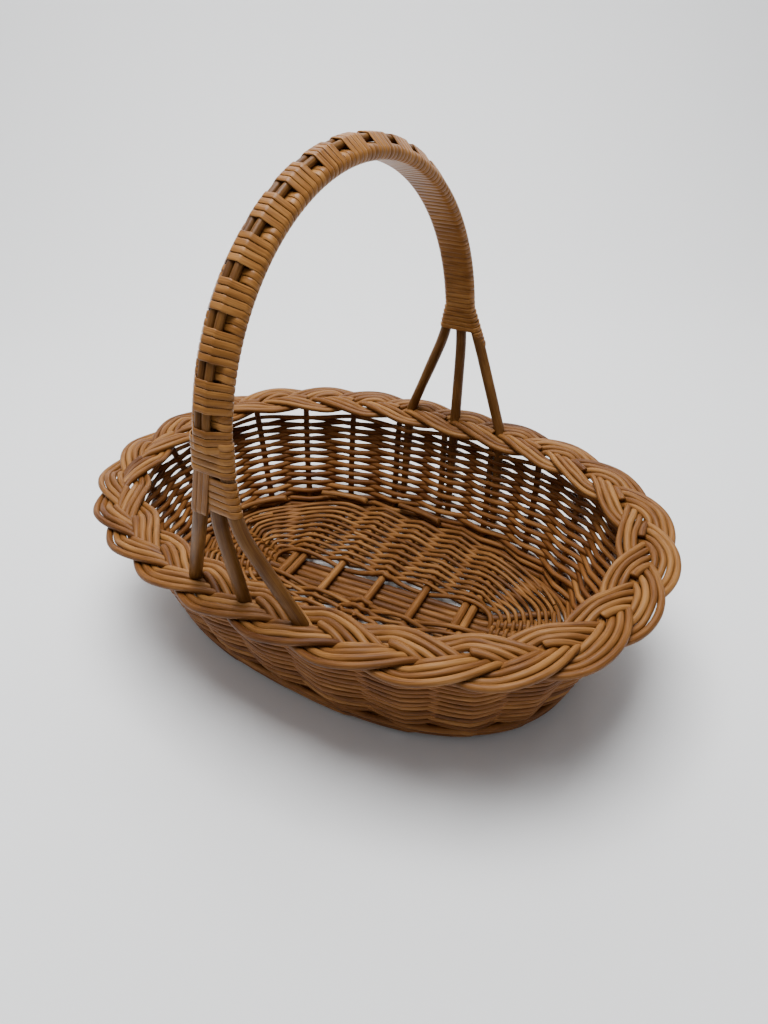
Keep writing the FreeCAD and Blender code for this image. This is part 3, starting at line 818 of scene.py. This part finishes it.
def bow_rods():
    """The three handle rods, thickest at the legs."""
    for side, (word, tone) in zip((-1, 0, 1), BOW_TONES.items()):
        line = bow_line(side)
        rods = Rods(round_section(16))
        radius = leg_radius(line[:, 2]) * (1 + smooth_noise(len(line), knots=30, size=0.015))
        rods.add(line, radius, up=(1, 0, 0), tone=tone)
        rods.piece("bow_%s" % word, HANDLE_WILLOW, "handle_rods", "bow_rod_" + word)


def listing_rods():
    """The two thin rods on the outer face of the grip."""
    for side, word in ((-1, "left"), (1, "right")):
        line = bow_arc(side * LISTING_SPACING / 2, BOW_RADIUS + LISTING_OFFSET, 160)
        line[:, 0] += smooth_noise(len(line), knots=14, size=0.2)
        rods = Rods(round_section(10))
        rods.add(line, LISTING_ROD, up=(1, 0, 0))
        rods.piece("listing_%s" % word, HANDLE_WILLOW, "handle_rods", "listing_rod_" + word)


# ---------------------------------------------------------------- winding of cane

TURNS_PER_WINDOW = 6
TURNS_UNDER = 2                 # of each six turns, two pass under the thin rods and leave a window
WINDOW_ANGLE = math.radians(9.8)
FIRST_WINDOW = math.radians(13.7)
CANE_HALF_WIDTH = 1.86
HULL_STEPS = 36                 # points round one turn of cane

COIL_PITCH = 3.95
COIL_OVERLAP = 6.0              # how far the coil round the legs runs up under the grip's winding
TWO_LEG_PITCH = 4.05
SINGLE_LEG_PITCH = 3.4
SINGLE_LEG_TURNS = 4
SINGLE_LEG_DROP = 8.0
SPLIT_LEVEL = 200.0             # below this the front winding takes only two legs
STRIP_HALF_WIDTH = 1.95
# Each strip of cane down the third leg: its lean to the side in degrees, and its place from the
# middle of the leg, across and along Y.
STRIPS = ((-50, -3.7, -3.1), (-8, -0.7, -4.75), (0, 3.1, -4.8), (0, 6.8, -4.8))


def hull_loop(circles):
    """Points and outward directions once round the band about some circles (x, out, radius)."""
    turns = -math.pi / 2 + np.arange(HULL_STEPS) * 2 * math.pi / HULL_STEPS
    ways = np.stack([np.cos(turns), np.sin(turns)], axis=-1)
    centres = np.array([circle[:2] for circle in circles])
    radii = np.array([circle[2] for circle in circles])
    nearest = np.argmax(ways @ centres.T + radii, axis=1)
    return centres[nearest] + ways * (radii[nearest] + CANE / 2)[:, None], ways


def wound_cane(stations, circle_sets):
    """One winding, as points and their outward directions.

    Turn by turn, stations give its centre and the handle's outward direction there, and
    circle_sets give the rods that it goes round.
    """
    points, ups = [], []
    across = np.array([1.0, 0, 0])
    share = (np.arange(HULL_STEPS) / HULL_STEPS)[:, None]
    for (centre, out), (next_centre, next_out), circles in zip(stations, stations[1:], circle_sets):
        loop, ways = hull_loop(circles)
        middle = centre * (1 - share) + next_centre * share
        outward = unit(out * (1 - share) + next_out * share)
        points.append(middle + across * loop[:, :1] + outward * loop[:, 1:])
        ups.append(across * ways[:, :1] + outward * ways[:, 1:])
    return np.concatenate(points), np.concatenate(ups)


def grip_station(turn):
    """Centre and outward direction of the handle at an angle of the bow."""
    out = np.array([0, -math.cos(turn), math.sin(turn)])
    return np.array([0, 0, BOW_CENTRE]) + out * BOW_RADIUS, out


def grip_circles(over):
    """The rods that one turn of cane goes round on the grip, over the thin rods or under them."""
    circles = [(-BOW_SPACING, 0, BOW_ROD), (BOW_SPACING, 0, BOW_ROD)]
    if over:
        circles += [(-LISTING_SPACING / 2, LISTING_OFFSET, LISTING_ROD),
                    (LISTING_SPACING / 2, LISTING_OFFSET, LISTING_ROD)]
    return circles


def grip_wrap():
    """The winding along the bow, with a window over the thin rods every few turns."""
    arc = math.pi - 2 * BOW_START
    count = int(arc / (WINDOW_ANGLE / TURNS_PER_WINDOW))
    last_window = math.pi - 2 * FIRST_WINDOW
    stations, circles = [], []
    for index in range(count + 1):
        turn = BOW_START + index * (arc / count)
        place = (turn - FIRST_WINDOW) / WINDOW_ANGLE
        in_window = abs(place - round(place)) < TURNS_UNDER / TURNS_PER_WINDOW / 2
        stations.append(grip_station(turn))
        circles.append(grip_circles(over=not in_window or turn > last_window))
    points, ups = wound_cane(stations, circles)
    rods = Rods(CANE_SECTION)
    rods.add(points, (CANE_HALF_WIDTH, CANE / 2), up=ups)
    rods.piece("grip_wrap", WRAP_CANE, "wrapping_cane", "handle_wrap")


def end_station(level, end):
    """Centre line of the legs below the bow at a level, with its outward direction."""
    place = bow_end(0, end)[0]
    knee = leg_points(0, end)[2]
    centre = place + (knee - place) * (place[2] - level) / (place[2] - knee[2])
    return centre, unit(np.array([0, float(end) * math.cos(BOW_START), math.sin(BOW_START)]))


def side_leg(level, end, side, padding=0.0):
    """(x, radius) of a side leg at a level, with any padding under the cane."""
    rim, knee, splay = leg_points(1, end)[1:]
    x = float(np.interp(level, (rim[2], knee[2], splay[2]), (rim[0], knee[0], splay[0])))
    return side * x, BOW_ROD + padding


def coil(rods, end, levels, held, half_width=CANE_HALF_WIDTH):
    """Turns of cane at some levels. held gives the (x, radius) of two rods at a level."""
    circles = [[(x, 0, radius) for x, radius in held(level)] for level in levels]
    points, ups = wound_cane([end_station(level, end) for level in levels], circles)
    rods.add(points, (half_width, CANE / 2), up=ups)


def wrap_end_back():
    """Close turns of cane down to the splay of the back legs, and a short coil round a single leg."""
    rods = Rods(CANE_SECTION)
    top = bow_end(0, 1)[0][2] + COIL_OVERLAP
    levels = np.arange(WRAP_END[1] + CANE_HALF_WIDTH, top, COIL_PITCH)
    coil(rods, 1, levels, lambda level: (side_leg(level, 1, -1), side_leg(level, 1, 1)))
    levels = WRAP_END[1] - SINGLE_LEG_DROP + np.arange(SINGLE_LEG_TURNS) * SINGLE_LEG_PITCH
    coil(rods, 1, levels, lambda level: (side_leg(level, 1, 1), side_leg(level, 1, 1)))
    rods.piece("back_leg_wrap", WRAP_CANE, "wrapping_cane", "wrap_end_back")


def wrap_end_front():
    """Turns round all three rods, then round two, with strips laid down the third."""
    rods = Rods(CANE_SECTION)

    def three_legs(level):
        x, radius = side_leg(level, -1, -1, padding=1.05)
        return (x - 0.7, radius), side_leg(level, -1, 1, padding=0.65)

    def two_legs(level):
        return (0.0, BOW_ROD), side_leg(level, -1, 1, padding=0.1)

    coil(rods, -1, np.arange(SPLIT_LEVEL, bow_end(0, -1)[0][2] + COIL_OVERLAP, COIL_PITCH), three_legs)
    levels = np.arange(WRAP_END[-1] + CANE_HALF_WIDTH, SPLIT_LEVEL + 1, TWO_LEG_PITCH)
    coil(rods, -1, levels, two_legs, half_width=1.9)
    levels = np.linspace(WRAP_END[-1] - 1, SPLIT_LEVEL + 3, 14)
    for lean, across, depth in STRIPS:
        way = np.array([math.sin(math.radians(lean)), -math.cos(math.radians(lean)), 0])
        line = [end_station(level, -1)[0] + (across + side_leg(level, -1, -1)[0], depth, 0)
                for level in levels]
        rods.add(line, (STRIP_HALF_WIDTH, CANE / 2), up=way)
    rods.piece("front_leg_wrap", WRAP_CANE, "wrapping_cane", "wrap_end_front")


# ---------------------------------------------------------------- studio, in metres

CAMERA_TARGET = np.array([0.0, 0.0, 0.100])
CAMERA_AZIMUTH = math.radians(33.16)
CAMERA_ELEVATION = math.radians(34.94)
CAMERA_ROLL = math.radians(-1.67)
CAMERA_DISTANCE = 0.53905
CAMERA_SLIDE = (0.01755, -0.0075)
CAMERA_LENS = 25.60
CAMERA_SHIFT = (-0.00796, -0.00172)
SENSOR_WIDTH = 36

SWEEP_FRONT = -2.6              # distances from the middle of the basket, away from the camera
SWEEP_BEND_START = 0.55
SWEEP_BEND = 0.45               # radius of the curve from the floor up to the backdrop
SWEEP_BEND_STEPS = 12
SWEEP_HEIGHT = 3.2
SWEEP_HALF_WIDTH = 3.0


def stand(thing, place, right, up, back):
    """Put a camera or a light in the scene. It faces away from its back."""
    matrix = np.eye(4)
    matrix[:3, :3] = np.stack([right, up, back], axis=-1)
    matrix[:3, 3] = place
    thing.matrix_world = Matrix(matrix.tolist())
    bpy.context.scene.collection.objects.link(thing)


def camera():
    """The camera, at the height and turn from which the basket was seen."""
    cos_azimuth, sin_azimuth = math.cos(CAMERA_AZIMUTH), math.sin(CAMERA_AZIMUTH)
    cos_elevation, sin_elevation = math.cos(CAMERA_ELEVATION), math.sin(CAMERA_ELEVATION)
    back = np.array([sin_azimuth * cos_elevation, -cos_azimuth * cos_elevation, sin_elevation])
    level_right = np.array([cos_azimuth, sin_azimuth, 0])
    level_up = np.cross(back, level_right)
    right = math.cos(CAMERA_ROLL) * level_right + math.sin(CAMERA_ROLL) * level_up
    up = math.cos(CAMERA_ROLL) * level_up - math.sin(CAMERA_ROLL) * level_right
    place = CAMERA_TARGET + back * CAMERA_DISTANCE + right * CAMERA_SLIDE[0] + up * CAMERA_SLIDE[1]
    lens = bpy.data.cameras.new("camera")
    lens.lens = CAMERA_LENS
    lens.sensor_width = SENSOR_WIDTH
    lens.shift_x, lens.shift_y = CAMERA_SHIFT
    thing = bpy.data.objects.new("camera", lens)
    stand(thing, place, right, up, back)
    bpy.context.scene.camera = thing


def paper(name, colour, roughness):
    """Plain pale paper."""
    material = bpy.data.materials.new(name)
    material.use_nodes = True
    shader = material.node_tree.nodes["Principled BSDF"]
    shader.inputs["Base Color"].default_value = (*colour, 1)
    shader.inputs["Roughness"].default_value = roughness
    return material


def sweep():
    """A pale sweep of paper under and behind the basket."""
    profile = [(SWEEP_FRONT, 0.0), (SWEEP_BEND_START, 0.0)]
    for step in range(1, SWEEP_BEND_STEPS + 1):
        turn = math.pi / 2 * step / SWEEP_BEND_STEPS
        profile.append((SWEEP_BEND_START + SWEEP_BEND * math.sin(turn), SWEEP_BEND * (1 - math.cos(turn))))
    profile.append((SWEEP_BEND_START + SWEEP_BEND, SWEEP_HEIGHT))
    ahead = np.array([-math.sin(CAMERA_AZIMUTH), math.cos(CAMERA_AZIMUTH), 0])
    side = np.array([math.cos(CAMERA_AZIMUTH), math.sin(CAMERA_AZIMUTH), 0])
    points, faces = [], []
    for distance, height in profile:
        for half in (-SWEEP_HALF_WIDTH, SWEEP_HALF_WIDTH):
            points.append((ahead * distance + side * half + np.array([0, 0, height])).tolist())
    for index in range(len(profile) - 1):
        faces.append([2 * index, 2 * index + 1, 2 * index + 3, 2 * index + 2])
    mesh = bpy.data.meshes.new("sweep")
    mesh.from_pydata(points, [], faces)
    mesh.materials.append(paper("paper", colour=(0.86, 0.865, 0.87), roughness=0.75))
    mesh.shade_smooth()
    thing = bpy.data.objects.new("sweep", mesh)
    bpy.context.scene.collection.objects.link(thing)


def area_light(name, place, target, size, power):
    """A soft square light that faces a point."""
    light = bpy.data.lights.new(name, "AREA")
    light.size = size
    light.energy = power
    back = unit(np.array(place) - np.array(target))
    overhead = abs(back[2]) >= 0.99
    right = np.array([1.0, 0, 0]) if overhead else unit(np.cross((0, 0, 1), back))
    stand(bpy.data.objects.new(name, light), place, right, np.cross(back, right), back)


def lights():
    """A broad light overhead, a little on the backdrop and from a window, and pale surroundings."""
    area_light("overhead", place=(-0.10, 0.02, 1.60), target=(0, 0, 0.1), size=1.0, power=40)
    area_light("backdrop", place=(-0.25, 0.40, 1.5), target=(-0.547, 0.837, 0.5), size=0.8, power=7)
    area_light("window", place=(-1.5, -1.0, 1.3), target=(0, 0, 0.1), size=1.2, power=3)
    world = bpy.data.worlds.new("room")
    world.use_nodes = True
    background = world.node_tree.nodes["Background"]
    background.inputs["Color"].default_value = (0.93, 0.96, 1.0, 1)
    background.inputs["Strength"].default_value = 0.30
    bpy.context.scene.world = world


# ---------------------------------------------------------------- the basket

camera()
sweep()
lights()
border_strands()
border_tucked_rods()
side_rows()
upsett_wale()
wale_butts()
foot_ring()
side_stakes()
long_sticks()
cross_sticks()
base_rows()
base_tips()
bow_rods()
listing_rods()
grip_wrap()
wrap_end_back()
wrap_end_front()
